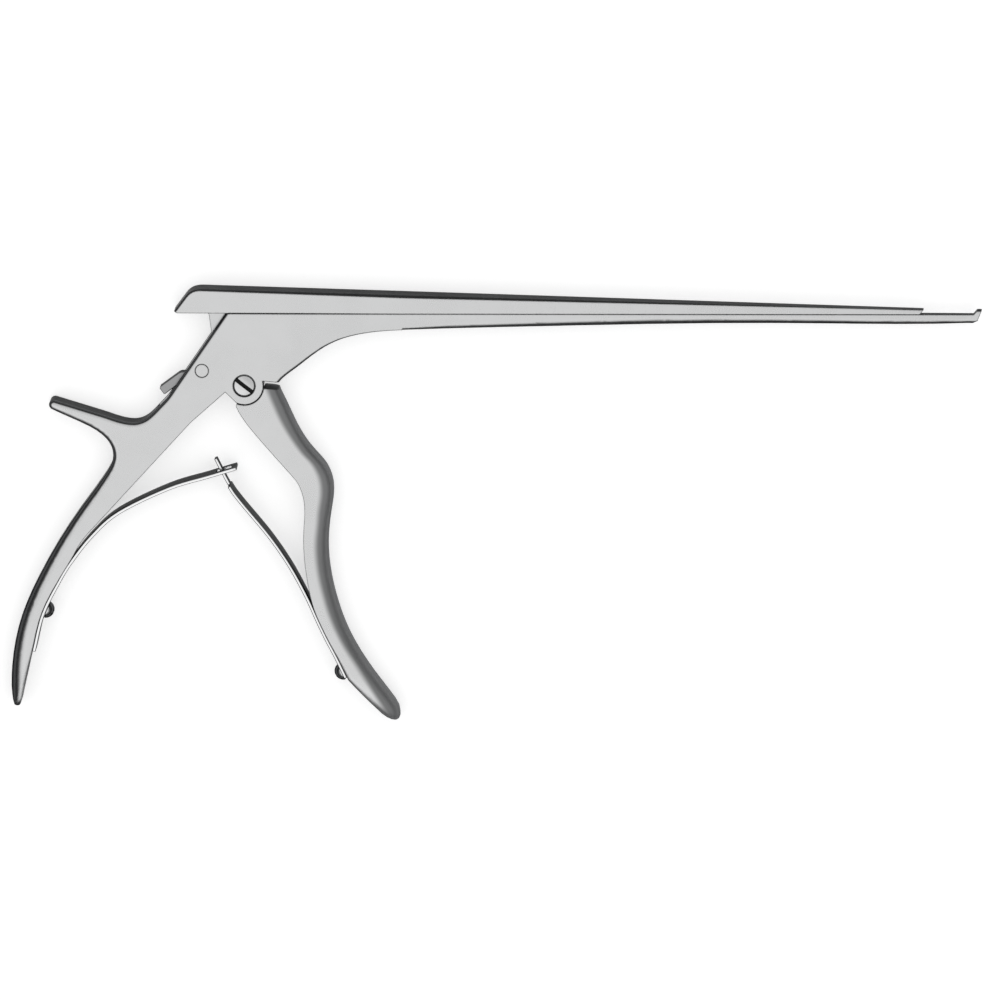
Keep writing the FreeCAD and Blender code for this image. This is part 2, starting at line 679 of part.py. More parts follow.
def slide_section(x, height, width, chamfer):
    """Six-sided section with chamfered top edges."""
    half = width / 2
    top = SPLIT_Y + height
    corners = (
        (-half, SLIDE_BASE_Y),
        (half, SLIDE_BASE_Y),
        (half, top - chamfer),
        (half - chamfer, top),
        (-half + chamfer, top),
        (-half, top - chamfer),
    )
    pts = [Vec(x, y, MID_Z + z) for z, y in corners]
    return Part.makePolygon(pts + [pts[0]])


def slide_height(x):
    share = (x - SLIDE_REAR_X) / (SLIDE_FRONT_X - SLIDE_REAR_X)
    return SLIDE_REAR_H + (SLIDE_TIP_H - SLIDE_REAR_H) * share


def slide_blank():
    """Tapered bar: straight to the throat, then narrowing to the tip."""
    front = SLIDE_FRONT_X + CUP_LENGTH / 2
    rear = SLIDE_REAR_X - NOSE_TOE_RUN
    straight = [
        slide_section(rear, slide_height(rear), SHAFT_W, SLIDE_CHAMFER),
        slide_section(THROAT_END_X, slide_height(THROAT_END_X), SHAFT_W, SLIDE_THROAT_CHAMFER),
    ]
    narrowing = [
        slide_section(THROAT_END_X, slide_height(THROAT_END_X), SHAFT_W, SLIDE_THROAT_CHAMFER),
        slide_section(front, slide_height(front), width_at(front), SLIDE_TIP_CHAMFER),
    ]
    return Part.makeLoft(straight, True, True).fuse(Part.makeLoft(narrowing, True, True))


NOSE_TOP = (-17.0, SPLIT_Y + 5.0)
NOSE_BEND = (-15.05, SPLIT_Y + 6.65)
CROWN_X = -12.0


def slide_side():
    """Side view of the slide with its leaning ends, the edges of the slanted nose chamfered."""
    crown = (CROWN_X, SPLIT_Y + slide_height(CROWN_X))
    toe = (SLIDE_REAR_X, SPLIT_Y + NOSE_TOE_RISE)
    heel = (SLIDE_REAR_X + NOSE_TOE_RUN, SPLIT_Y)
    nose_dir = (NOSE_TOP[0] - toe[0], NOSE_TOP[1] - toe[1])
    lean = (crown[1] - SPLIT_Y) / math.tan(JAW_LEAN)
    edges = [
        line((SLIDE_FRONT_X + lean, crown[1]), (SLIDE_FRONT_X, SPLIT_Y)),
        line((SLIDE_FRONT_X, SPLIT_Y), heel),
        line(heel, toe),
        line(toe, NOSE_TOP),
        curve((NOSE_TOP, NOSE_BEND, crown), nose_dir, (1.0, 0.0)).toShape(),
        line(crown, (SLIDE_FRONT_X + lean, crown[1])),
    ]
    side = centred_plate(Part.Wire(edges), SHAFT_W)
    faces = (MID_Z - SHAFT_W / 2, MID_Z + SHAFT_W / 2)
    return side.makeChamfer(SLIDE_CHAMFER, rim_edges(side, [NOSE_BEND], faces))


def knuckle_pocket():
    """Pocket for the knuckle of the drive arm, flared at its mouth for the swing of the arm."""
    half = KNUCKLE_R + KNUCKLE_GAP
    mouth_y = SPLIT_Y - KNUCKLE_GAP
    mouth_half = half + (POCKET_WALL_Y - mouth_y) * POCKET_FLARE
    ceiling = ARM_R + KNUCKLE_R + KNUCKLE_TOP_GAP
    wire = polygon((
        (KNUCKLE_X - mouth_half, mouth_y),
        (KNUCKLE_X + mouth_half, mouth_y),
        (KNUCKLE_X + half, POCKET_WALL_Y),
        (KNUCKLE_X + half, ceiling),
        (KNUCKLE_X - half, ceiling),
        (KNUCKLE_X - half, POCKET_WALL_Y),
    ))
    return centred_plate(wire, ARM_T + 4 * FIT)


def cutting_cup():
    """Hollow behind the cutting edge that holds the sample."""
    x0 = SLIDE_FRONT_X - CUP_LENGTH
    x1 = SLIDE_FRONT_X + CUP_LENGTH / 2
    return block(x0, x1, SPLIT_Y - CUP_DEPTH, SPLIT_Y + CUP_DEPTH, width_at(SLIDE_FRONT_X) - 2 * CUP_WALL)


def make_slide():
    slide = slide_blank().common(slide_side())
    slide = slide.fuse([key_solid(REAR_KEY), key_solid(FRONT_KEY)])
    slide = slide.cut(knuckle_pocket())
    slide = slide.cut(cutting_cup())
    return slide.removeSplitter()


# Frame and its screws

def pivot_cavity():
    """Stepped hole in both cheeks for the head, shoulder and thread of the pivot screw."""
    head = round_rod(0, 0, HEAD_R + HEAD_GAP, BODY_T - HEAD_H - SEAT_GAP, BODY_T + 1)
    shoulder = round_rod(0, 0, SHOULDER_R + SEAT_GAP, MID_Z - SLOT_W / 2, BODY_T)
    thread = round_rod(0, 0, THREAD_R + SEAT_GAP, -1, MID_Z)
    return head.fuse([shoulder, thread])


def make_frame():
    body = body_plate().common(plan_taper())
    frame = body.fuse([shank_bar(), foot_plate()])
    frame = frame.cut(fork_slot())
    frame = frame.cut(key_groove(REAR_KEY))
    frame = frame.cut(key_groove(FRONT_KEY))
    frame = frame.cut(pivot_cavity())
    frame = frame.cut(round_rod(LOCK_X, LOCK_Y, LOCK_PIN_R + SEAT_GAP, -1, BODY_T + 1))
    frame = frame.cut(spring_cut())
    frame = frame.cut(screw_hole(rear_screw_seat(), SEAT_GAP))
    return frame.removeSplitter()


def make_pivot_screw():
    """Screw with a slotted, slightly domed head let into the near cheek."""
    top = BODY_T - HEAD_SINK
    rim_z = top - HEAD_DOME
    face_r = HEAD_R - HEAD_CHAMFER
    dome_r = (face_r ** 2 + HEAD_DOME ** 2) / (2 * HEAD_DOME)
    half_angle = math.asin(face_r / dome_r) / 2
    mid = Vec(dome_r * math.sin(half_angle), 0, top - dome_r + dome_r * math.cos(half_angle))
    shoulder_z = MID_Z - SLOT_W / 2
    head_z = BODY_T - HEAD_H
    corners = ((0, 0), (THREAD_R, 0), (THREAD_R, shoulder_z), (SHOULDER_R, shoulder_z), (SHOULDER_R, head_z),
               (HEAD_R, head_z), (HEAD_R, rim_z - HEAD_CHAMFER), (face_r, rim_z))
    points = [Vec(r, 0, z) for r, z in corners]
    edges = [Part.LineSegment(a, b).toShape() for a, b in zip(points, points[1:])]
    edges.append(Part.Arc(points[-1], mid, Vec(0, 0, top)).toShape())
    edges.append(Part.LineSegment(Vec(0, 0, top), points[0]).toShape())
    screw = Part.Face(Part.Wire(edges)).revolve(Vec(0, 0, 0), Z_AXIS, 360)
    slot_corner = Vec(-1.5 * HEAD_R, -HEAD_SLOT_W / 2, top - HEAD_SLOT_DEPTH)
    slot = Part.makeBox(3 * HEAD_R, HEAD_SLOT_W, HEAD_H, slot_corner)
    slot.rotate(Vec(0, 0, 0), Z_AXIS, HEAD_SLOT_TURN)
    return screw.cut(slot).removeSplitter()


def make_rear_leaf():
    leaf = ribbon(rear_leaf_curves(), -1, SEAT_GAP, LEAF_T, LEAF_W)
    window = block(TONGUE_SLOT_REAR_X, TONGUE_SLOT_FRONT_X, -BEYOND, 0, TONGUE_SLOT_W)
    return leaf.cut(window).cut(screw_hole(rear_screw_seat(), SEAT_GAP))


def make_front_leaf():
    leaf = ribbon(front_leaf_curves(), 1, SEAT_GAP, LEAF_T, LEAF_W)
    ahead = at(FRONT_LEAF_END_DIR).normalize()
    across = Vec(ahead.y, -ahead.x, 0) * TONGUE_L / 2
    corner = at(TONGUE_SHOULDER)
    far = corner + ahead * 2 * TONGUE_L
    wire = Part.makePolygon([corner - across, corner + across, far + across, far - across, corner - across])
    sides = centred_plate(wire, LEAF_W + TONGUE_W).cut(centred_plate(wire, TONGUE_W))
    return leaf.cut(sides).cut(screw_hole(front_screw_seat(), SEAT_GAP))


PIECES = {
    "frame": make_frame,
    "slide": make_slide,
    "trigger": make_trigger,
    "pivot_screw": make_pivot_screw,
    "lock_lever": make_lock_lever,
    "lock_pin": make_lock_pin,
    "lock_spring": make_lock_spring,
    "rear_leaf_spring": make_rear_leaf,
    "front_leaf_spring": make_front_leaf,
    "rear_spring_screw": lambda: spring_screw(rear_screw_seat()),
    "front_spring_screw": lambda: spring_screw(front_screw_seat()),
}

for name, make in PIECES.items():
    shape = make()
    shape.exportStep("parts/" + name + ".step")
    print(name, "solids", len(shape.Solids), "valid", shape.isValid(), "volume", round(shape.Volume, 2))
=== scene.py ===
import math

import bmesh
import bpy
from bpy.props import FloatProperty, FloatVectorProperty, PointerProperty
from mathutils import Matrix, Vector


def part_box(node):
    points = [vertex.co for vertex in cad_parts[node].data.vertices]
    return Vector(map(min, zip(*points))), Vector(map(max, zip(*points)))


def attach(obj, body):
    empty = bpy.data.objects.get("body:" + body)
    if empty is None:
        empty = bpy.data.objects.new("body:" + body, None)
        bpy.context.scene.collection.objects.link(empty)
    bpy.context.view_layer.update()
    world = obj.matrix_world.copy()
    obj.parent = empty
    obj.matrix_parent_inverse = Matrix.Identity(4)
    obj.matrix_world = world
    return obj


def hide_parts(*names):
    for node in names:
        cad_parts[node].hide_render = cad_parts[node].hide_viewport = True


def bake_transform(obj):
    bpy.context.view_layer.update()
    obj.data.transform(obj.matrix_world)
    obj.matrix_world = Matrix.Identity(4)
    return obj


bl_info = {
    "name": "Sliding Bone Punch",
    "version": (1, 0, 0),
    "blender": (4, 5, 0),
    "location": "View3D > Sidebar > Bone Punch",
    "description": "Bending leaf springs, satin steel finishes and a plain studio for a sliding bone punch",
    "category": "Object",
}

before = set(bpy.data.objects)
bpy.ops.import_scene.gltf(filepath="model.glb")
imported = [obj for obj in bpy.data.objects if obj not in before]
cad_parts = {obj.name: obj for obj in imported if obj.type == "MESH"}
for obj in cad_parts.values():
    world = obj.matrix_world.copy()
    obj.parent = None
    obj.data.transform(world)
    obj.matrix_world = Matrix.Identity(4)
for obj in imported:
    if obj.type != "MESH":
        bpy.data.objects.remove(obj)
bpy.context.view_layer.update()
BODY_LOW, BODY_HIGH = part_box("frame")
LEAF_LOW, LEAF_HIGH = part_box("rear_leaf_spring")
MIDDLE_Z = (BODY_LOW.z + BODY_HIGH.z) / 2

# Side-view points of the springs, in metres: the seat on the handle, then the free part
REAR_SEAT = ((-0.06235, -0.0790), (-0.0596, -0.0680), (-0.0549, -0.0585), (-0.0512, -0.0524))
REAR_FREE = ((-0.0450, -0.0445), (-0.0370, -0.0374), (-0.02235, -0.0302), (-0.0107, -0.0266),
             (-0.0026, -0.0241))
FRONT_SEAT = ((0.0296, -0.0864), (0.0267, -0.0803), (0.02395, -0.0750), (0.0214, -0.0696))
FRONT_FREE = ((0.0181, -0.0622), (0.0134, -0.0534), (0.0074, -0.0445), (-0.0010, -0.0342),
              (-0.0042, -0.0296), (-0.0082, -0.0218))
TONGUE_ROOT = Vector((-0.0044, -0.0298, MIDDLE_Z))
TONGUE_DIRECTION = Vector((-0.43, 0.90, 0.0)).normalized()
SLOT_ENDS_X = (-0.0086, -0.0041)
LOCK_LEAF = ((-0.0102, -0.0041), (-0.0107, -0.0021), (-0.0136, -0.00055), (-0.0178, 0.00005))

# Making of the leaves: steps between two points, the way from a leaf's end into the metal beside it, and
# the rounded rim, which on the lock leaf is a sixth of its thickness
PATH_STEPS = 6
ASIDE = Vector((0.02, 0.0, 0.0))
RIM_SEGMENTS = 3
RIM_ANGLE = math.radians(40)
LOCK_RIM_PARTS = 6
LEAF_SMOOTH_ANGLE = math.radians(35)

# Grid that a leaf starts from: half its size, the line that only corners not yet placed lie below, and how
# near two places count as one
GRID_HALF = 0.5
UNPLACED_Y = -0.4
SAME_PLACE = 1e-4

# Rounded end of the trigger's grip: where it starts, then for each ring the outer point, the inner point,
# the half thickness, and how far the section has turned from the forging's into an oval
GRIP_START = Vector((0.0329, -0.08485, 0.0))
GRIP_AXIS = Vector((0.60, -0.80, 0.0))
GRIP_RINGS = (
    ((0.03768, -0.08550), (0.03200, -0.08950), 0.00470, 0.10),
    ((0.03975, -0.08825), (0.03400, -0.09175), 0.00470, 0.22),
    ((0.04175, -0.09085), (0.03595, -0.09400), 0.00465, 0.40),
    ((0.04350, -0.09320), (0.03785, -0.09605), 0.00455, 0.60),
    ((0.04460, -0.09515), (0.03945, -0.09765), 0.00430, 0.80),
    ((0.04490, -0.09670), (0.04095, -0.09875), 0.00380, 1.0),
    ((0.04495, -0.09800), (0.04215, -0.09928), 0.00310, 1.0),
    ((0.04460, -0.09890), (0.04305, -0.09944), 0.00205, 1.0),
    ((0.04425, -0.09930), (0.04360, -0.09947), 0.00100, 1.0),
)

# Making of the grip: the forging's half thickness there, how near the plane of the cut its corners lie, the
# length above which its edges are divided and with how many cuts, and the distance of corners that are one
GRIP_HALF = 0.0047
CUT_REACH = 0.0003
LONG_EDGE = 0.0006
LONG_EDGE_CUTS = 5
WELD_DISTANCE = 0.000002
GRIP_SMOOTH_ANGLE = math.radians(32)

# Outer edge of the trigger, top to bottom: depth below the pivot and reach forward, as shares of the scale,
# then where the band of painted shade beside it fades in
BAND_SCALE = 0.1
TRIGGER_EDGE = ((0.0, 0.098), (0.049, 0.1175), (0.119, 0.15), (0.191, 0.1965), (0.2415, 0.2385),
                (0.29, 0.256), (0.387, 0.2485), (0.495, 0.242), (0.628, 0.2645), (0.736, 0.304),
                (0.843, 0.368), (1.0, 0.466))
BAND_FADE = (-0.047, -0.025)

# Upward share of the normal over which the painted shade of a rounded edge passes into the flat face, and the
# painted shade of a side into that of the edge
FACE_LEAN = (0.82, 0.985)
LEAF_LEAN = (0.93, 0.998)
SIDE_LEAN = (0.12, 0.35)

# Places where a finish changes: the slot's floor, below which shade is painted, the handles' ends and the
# shank, towards whose tip the painted edge shade darkens
SLOT_FLOOR_Z = BODY_HIGH.z - 0.0008
HANDLE_ENDS_Y = (-0.074, -0.090)
SHANK_X = (0.04, 0.17)

# Roughness of the flat faces and of the rest, and the radius of the rubbed edges
SLOTTED_ROUGHNESS, SLOTTED_ROUNDING = (0.20, 0.22), 0.00015
DOMED_ROUGHNESS, DOMED_ROUNDING = (0.16, 0.18), 0.0001
SPRING_ROUGHNESS, SPRING_ROUNDING = (0.24, 0.26), 0.00005
BAND_ROUGHNESS = 0.5
EDGE_SAMPLES = 8

# Grinding marks and cloudiness: the stretch along each axis, sizes, and what they do to colour and roughness
LONG_MARKS = (0.5, 1.0, 1.0)
EVEN_MARKS = (1.0, 1.0, 1.0)
CROSS_MARKS = (1.0, 1.0, 0.3)
NOISE_ROUGHNESS = 0.6
NOISE_SPAN = (0.25, 0.75)
CLOUD_SIZE, CLOUD_DETAIL = 0.011, 3.0
CLOUD_TONES, CLOUD_ROUGHNESS = (0.96, 1.03), (-0.02, 0.025)
MARK_DETAIL = 2.0
MARK_TONES, MARK_ROUGHNESS = (0.975, 1.02), (-0.02, 0.02)
MARK_STRENGTH, MARK_DEPTH = 0.03, 0.00002

# Studio: heights at which the sky's brightness is set, floor, softbox, and the camera's sensor and range
SKY_HEIGHTS = (0.0, 0.10, 0.20, 0.60, 0.72, 0.90, 0.97, 1.0)
SKY_LIMIT = 5.0
FLOOR_RADIUS, FLOOR_CORNERS, FLOOR_Z = 20.0, 64, -0.00005
SOFTBOX_SIZE, SOFTBOX_PLACE = 1.4, (-0.35, -0.55, 2.6)
SENSOR_WIDTH = 36.0
CLIP_START, CLIP_END = 0.01, 100.0
WHITE = (1.0, 1.0, 1.0)


class PunchSteel(bpy.types.PropertyGroup):
    """Colours, roughness and edge radii of the steel finishes, the colours of edges, sides and slot holding
    painted shade and that of the leaf edges a painted highlight
    """
    face_colour: FloatVectorProperty(
        name="Ground face", description="Colour of the satin-ground flat faces", subtype="COLOR",
        default=(0.575, 0.578, 0.58), min=0.0, max=1.0)
    # Painted shade: near-black colour on the rounded edges, standing in for their dark reflections
    painted_edge_shade: FloatVectorProperty(
        name="Rounded edge", description="Colour of the rounded edges between the flat faces and the sides",
        subtype="COLOR", default=(0.075, 0.076, 0.078), min=0.0, max=1.0)
    # Painted shade: darker colour on the narrow sides
    painted_side_shade: FloatVectorProperty(
        name="Matt side", description="Colour of the blasted narrow sides", subtype="COLOR",
        default=(0.32, 0.323, 0.326), min=0.0, max=1.0)
    # Painted shade: the edges darken further towards the tip
    painted_shank_shade: FloatVectorProperty(
        name="Shank edge", description="Colour of the rounded edges towards the tip", subtype="COLOR",
        default=(0.05, 0.0505, 0.051), min=0.0, max=1.0)
    # Painted shade: dark band painted along the outer edge of the trigger
    painted_band_shade: FloatVectorProperty(
        name="Trigger edge band", description="Colour of the rounded outer edge of the trigger",
        subtype="COLOR", default=(0.21, 0.212, 0.214), min=0.0, max=1.0)
    # Painted shade: darker specular tint on the edges and sides, dimming their reflections
    painted_graze_shade: FloatVectorProperty(
        name="Edge at a low angle", description="Tint of the edges and sides where the light grazes them",
        subtype="COLOR", default=(0.12, 0.12, 0.12), min=0.0, max=1.0)
    lever_colour: FloatVectorProperty(
        name="Release lever", description="Colour of the duller release lever", subtype="COLOR",
        default=(0.31, 0.312, 0.315), min=0.0, max=1.0)
    # Painted shade: darker colour on the broad faces of the leaves
    painted_leaf_shade: FloatVectorProperty(
        name="Spring leaf", description="Colour of the broad faces of the spring leaves", subtype="COLOR",
        default=(0.30, 0.303, 0.306), min=0.0, max=1.0)
    # Painted highlight: lighter colour on the narrow edges of the leaves
    painted_leaf_highlight: FloatVectorProperty(
        name="Spring edge", description="Colour of the polished edges of the spring leaves", subtype="COLOR",
        default=(0.80, 0.803, 0.806), min=0.0, max=1.0)
    screw_colour: FloatVectorProperty(
        name="Screw head", description="Colour of the turned screw heads", subtype="COLOR",
        default=(0.56, 0.563, 0.565), min=0.0, max=1.0)
    # Painted shade: near-black colour in the bottom of the pivot screw's slot
    painted_slot_shade: FloatVectorProperty(
        name="Screw slot", description="Colour of the bottom of the pivot screw's slot", subtype="COLOR",
        default=(0.012, 0.012, 0.012), min=0.0, max=1.0)
    face_roughness: FloatProperty(
        name="Face roughness", description="Roughness of the flat faces", subtype="FACTOR", default=0.28,
        min=0.0, max=1.0)
    side_roughness: FloatProperty(
        name="Side roughness", description="Roughness of the edges and narrow sides", subtype="FACTOR",
        default=0.26, min=0.0, max=1.0)
    edge_rounding: FloatProperty(
        name="Edge rounding", description="Radius to which sharp edges are rubbed", subtype="DISTANCE",
        unit="LENGTH", default=0.00055, min=0.0, max=0.001, precision=5)
    end_rounding: FloatProperty(
        name="Handle end rounding", description="Radius to which the edges of the handle ends are rubbed",
        subtype="DISTANCE", unit="LENGTH", default=0.0022, min=0.0, max=0.004, precision=5)
    grain_size: FloatProperty(
        name="Grain size", description="Spacing of the finest grinding marks", subtype="DISTANCE",
        unit="LENGTH", default=0.00016, min=0.00002, max=0.002, precision=5)


class PunchLeaves(bpy.types.PropertyGroup):
    """Sizes of the spring leaves"""
    width: FloatProperty(
        name="Leaf width", description="Width of both leaves across the handles", subtype="DISTANCE",
        unit="LENGTH", default=LEAF_HIGH.z - LEAF_LOW.z, min=0.004, max=0.0094, precision=5)
    thickness: FloatProperty(
        name="Leaf thickness", description="Thickness of both leaves", subtype="DISTANCE", unit="LENGTH",
        default=0.00095, min=0.0003, max=0.002, precision=5)
    slot_width: FloatProperty(
        name="Slot width", description="Width of the window in the rear leaf", subtype="DISTANCE",
        unit="LENGTH", default=0.0038, min=0.001, max=0.006, precision=5)
    tongue_width: FloatProperty(
        name="Tongue width", description="Width of the tongue of the front leaf", subtype="DISTANCE",
        unit="LENGTH", default=0.0030, min=0.001, max=0.006, precision=5)
    edge_radius: FloatProperty(
        name="Edge radius", description="Rounding of the long edges", subtype="DISTANCE", unit="LENGTH",
        default=0.00026, min=0.0, max=0.0004, precision=5)
    lock_width: FloatProperty(
        name="Lock leaf width", description="Width of the small leaf behind the release lever",
        subtype="DISTANCE", unit="LENGTH", default=0.0032, min=0.001, max=0.0038, precision=5)
    lock_thickness: FloatProperty(
        name="Lock leaf thickness", description="Thickness of the small leaf", subtype="DISTANCE",
        unit="LENGTH", default=0.00035, min=0.0001, max=0.001, precision=5)


class PunchStudio(bpy.types.PropertyGroup):
    """Camera, lights and floor"""
    camera_target: FloatVectorProperty(
        name="Camera target", description="Point of the near face at the middle of the picture",
        subtype="XYZ", unit="LENGTH", default=(0.074276, -0.033361, 0.0094), precision=5)
    camera_lean: FloatVectorProperty(
        name="Camera lean", description="Lean of the camera from straight above: across, along and roll",
        subtype="EULER", unit="ROTATION",
        default=(math.radians(2.027), math.radians(10.754), math.radians(-0.1275)))
    camera_distance: FloatProperty(
        name="Camera distance", description="Distance from the target", subtype="DISTANCE", unit="LENGTH",
        default=4.0, min=0.3, max=10.0)
    picture_width: FloatProperty(
        name="Picture width", description="Width seen at the target", subtype="DISTANCE", unit="LENGTH",
        default=0.2906, min=0.05, max=2.0, precision=4)
    floor_colour: FloatVectorProperty(
        name="Floor colour", description="Colour of the floor", subtype="COLOR", default=(0.70, 0.70, 0.70),
        min=0.0, max=1.0)
    floor_glow: FloatProperty(
        name="Floor glow", description="Brightness added to the floor where it is seen", default=0.56,
        min=0.0, max=1.0)
    sky_top: FloatProperty(
        name="Sky overhead", description="Brightness of the soft light overhead", default=1.0,
        min=0.0, max=5.0)
    sky_ring: FloatProperty(
        name="Sky around the top", description="Brightness of the light ring round the overhead light",
        default=1.35, min=0.0, max=5.0)
    sky_side: FloatProperty(
        name="Sky at the side", description="Brightness of the walls of the room", default=0.45,
        min=0.0, max=5.0)
    sky_foot: FloatProperty(
        name="Sky at the foot", description="Brightness of the room just above the horizon", default=0.04,
        min=0.0, max=5.0)
    softbox_power: FloatProperty(
        name="Softbox power", description="Power of the overhead softbox in watts", default=2.0,
        min=0.0, max=500.0)


# Shader trees

def blank_tree(owner):
    """Emptied node tree of a material or a world."""
    owner.use_nodes = True
    owner.node_tree.nodes.clear()
    return owner.node_tree


def node(tree, kind, **settings):
    """New node with the given settings."""
    made = tree.nodes.new(kind)
    for name, value in settings.items():
        setattr(made, name, value)
    return made


def feed(tree, socket, value):
    """Sets the socket, or links it where the value is another node's output."""
    if isinstance(value, bpy.types.NodeSocket):
        tree.links.new(value, socket)
    elif socket.type == "RGBA":
        socket.default_value = (*value, 1.0)
    else:
        socket.default_value = value


def calculate(tree, operation, *values):
    """Result of one operation on one or two values."""
    made = node(tree, "ShaderNodeMath", operation=operation)
    for socket, value in zip(made.inputs, values):
        feed(tree, socket, value)
    return made.outputs[0]


def coordinate(tree, vector, axis):
    """One coordinate of the vector."""
    parts = node(tree, "ShaderNodeSeparateXYZ")
    feed(tree, parts.inputs[0], vector)
    return parts.outputs[axis]


def ramp(tree, value, start, stop, smooth=False):
    """The value carried from the first span to the second and held at both ends."""
    span = node(tree, "ShaderNodeMapRange", interpolation_type="SMOOTHSTEP" if smooth else "LINEAR")
    for name, setting in zip(("From Min", "From Max", "To Min", "To Max"), (*start, *stop)):
        feed(tree, span.inputs[name], setting)
    feed(tree, span.inputs["Value"], value)
    return span.outputs["Result"]


def float_curve(tree, value, points, top=1.0):
    """Height of the curve through the points at the given value."""
    curve = node(tree, "ShaderNodeFloatCurve")
    steps = curve.mapping.curves[0].points
    for point in points[1:-1]:
        steps.new(*point)
    steps[0].location = points[0]
    steps[len(steps) - 1].location = points[-1]
    curve.mapping.clip_max_y = top
    curve.mapping.update()
    feed(tree, curve.inputs["Value"], value)
    return curve.outputs["Value"]


def blend_colours(tree, factor, first, second, mode="MIX"):
    """Second colour laid over the first."""
    mix = node(tree, "ShaderNodeMix", data_type="RGBA", blend_type=mode)
    for socket, value in ((mix.inputs["Factor"], factor), (mix.inputs[6], first), (mix.inputs[7], second)):
        feed(tree, socket, value)
    return mix.outputs[2]


def grain(tree, coords, spacing, stretch, detail):
    """Fine noise whose marks are drawn out along the given axes."""
    mapping = node(tree, "ShaderNodeMapping")
    feed(tree, mapping.inputs["Scale"], stretch)
    feed(tree, mapping.inputs["Vector"], coords)
    noise = node(tree, "ShaderNodeTexNoise")
    feed(tree, noise.inputs["Scale"], 1.0 / spacing)
    feed(tree, noise.inputs["Detail"], detail)
    feed(tree, noise.inputs["Roughness"], NOISE_ROUGHNESS)
    feed(tree, noise.inputs["Vector"], mapping.outputs[0])
    return noise.outputs["Fac"]


# Steel

def rubbed_edges(tree, coords, edge_round, end_round):
    """Normal softened at the edges, more so towards the handle ends."""
    soft = node(tree, "ShaderNodeBevel", samples=EDGE_SAMPLES)
    radius = edge_round
    if end_round:
        height = coordinate(tree, coords, "Y")
        radius = ramp(tree, height, HANDLE_ENDS_Y, (edge_round, end_round), smooth=True)
    feed(tree, soft.inputs["Radius"], radius)
    return soft.outputs["Normal"]


def band_shade_mask(tree, coords):
    """1 on the band of painted shade along the trigger's outer edge, fading out towards its flat face."""
    depth = ramp(tree, coordinate(tree, coords, "Y"), (0.0, -BAND_SCALE), (0.0, 1.0))
    reach = ramp(tree, coordinate(tree, coords, "X"), (0.0, BAND_SCALE), (0.0, 1.0))
    gap = calculate(tree, "SUBTRACT", reach, float_curve(tree, depth, TRIGGER_EDGE))
    return ramp(tree, gap, BAND_FADE, (0.0, 1.0), smooth=True)


def satin_steel(steel, name, colours, roughness, rounding, stretch, lean=FACE_LEAN, end_rounding=0.0,
                shank_shade=None, banded=False, slot_shade=None):
    """Stainless steel with ground flat faces, and sides and rubbed edges between them darkened by painted
    shade.

    The colours are those of the face, the painted shade of the edge and the painted shade of the side, the
    roughness that of the face and the rest.
    """
    face, edge, side_shade = colours
    material = bpy.data.materials.new(name)
    tree = blank_tree(material)
    surface = node(tree, "ShaderNodeBsdfPrincipled")
    out = node(tree, "ShaderNodeOutputMaterial")
    feed(tree, out.inputs["Surface"], surface.outputs["BSDF"])
    coords = node(tree, "ShaderNodeTexCoord").outputs["Object"]
    normal = rubbed_edges(tree, coords, rounding, end_rounding)
    upward = calculate(tree, "ABSOLUTE", coordinate(tree, normal, "Z"))
    # Painted shade: the edges and sides, where the normal leans from straight up, take the darker colours
    shade_and_roughness_lean = ramp(tree, upward, lean, (1.0, 0.0), smooth=True)
    # Painted shade: the band along the trigger's outer edge takes the dark colour too
    if banded:
        shade_and_roughness_lean = calculate(tree, "MAXIMUM", shade_and_roughness_lean, band_shade_mask(tree, coords))
    # Painted shade: the edge shade darkens towards the tip of the shank
    if shank_shade:
        shank_shade_share = ramp(tree, coordinate(tree, coords, "X"), SHANK_X, (0.0, 1.0))
        edge = blend_colours(tree, shank_shade_share, edge, shank_shade)
    # Painted shade: colour of the rounded edges passing into that of the sides
    edge_and_side_shade = blend_colours(tree, ramp(tree, upward, SIDE_LEAN, (1.0, 0.0), smooth=True), edge, side_shade)
    clouds = grain(tree, coords, CLOUD_SIZE, EVEN_MARKS, CLOUD_DETAIL)
    marks = grain(tree, coords, steel.grain_size, stretch, MARK_DETAIL)
    colour = blend_colours(tree, shade_and_roughness_lean, face, edge_and_side_shade)
    colour = blend_colours(tree, 1.0, colour, ramp(tree, clouds, NOISE_SPAN, CLOUD_TONES), "MULTIPLY")
    colour = blend_colours(tree, 1.0, colour, ramp(tree, marks, NOISE_SPAN, MARK_TONES), "MULTIPLY")
    # Painted shade: near-black below the floor of the screw slot
    if slot_shade:
        floor, slot_shade_colour = slot_shade
        in_slot_shade = calculate(tree, "LESS_THAN", coordinate(tree, coords, "Z"), floor)
        colour = blend_colours(tree, in_slot_shade, colour, slot_shade_colour)
    rough = calculate(tree, "ADD", ramp(tree, shade_and_roughness_lean, (0.0, 1.0), roughness),
                      ramp(tree, clouds, NOISE_SPAN, CLOUD_ROUGHNESS))
    rough = calculate(tree, "ADD", rough, ramp(tree, marks, NOISE_SPAN, MARK_ROUGHNESS))
    # Painted shade: darker specular tint on the edges and sides
    graze_shade_tint = blend_colours(tree, shade_and_roughness_lean, WHITE, tuple(steel.painted_graze_shade))
    bump = node(tree, "ShaderNodeBump")
    feed(tree, bump.inputs["Strength"], MARK_STRENGTH)
    feed(tree, bump.inputs["Distance"], MARK_DEPTH)
    feed(tree, bump.inputs["Height"], marks)
    feed(tree, bump.inputs["Normal"], normal)
    feed(tree, surface.inputs["Base Color"], colour)
    feed(tree, surface.inputs["Metallic"], 1.0)
    feed(tree, surface.inputs["Roughness"], rough)
    feed(tree, surface.inputs["Specular Tint"], graze_shade_tint)
    feed(tree, surface.inputs["Normal"], bump.outputs["Normal"])
    return material


def dress(names, material):
    """Gives the CAD nodes the finish."""
    for name in names:
        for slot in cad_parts[name].material_slots:
            slot.material = material


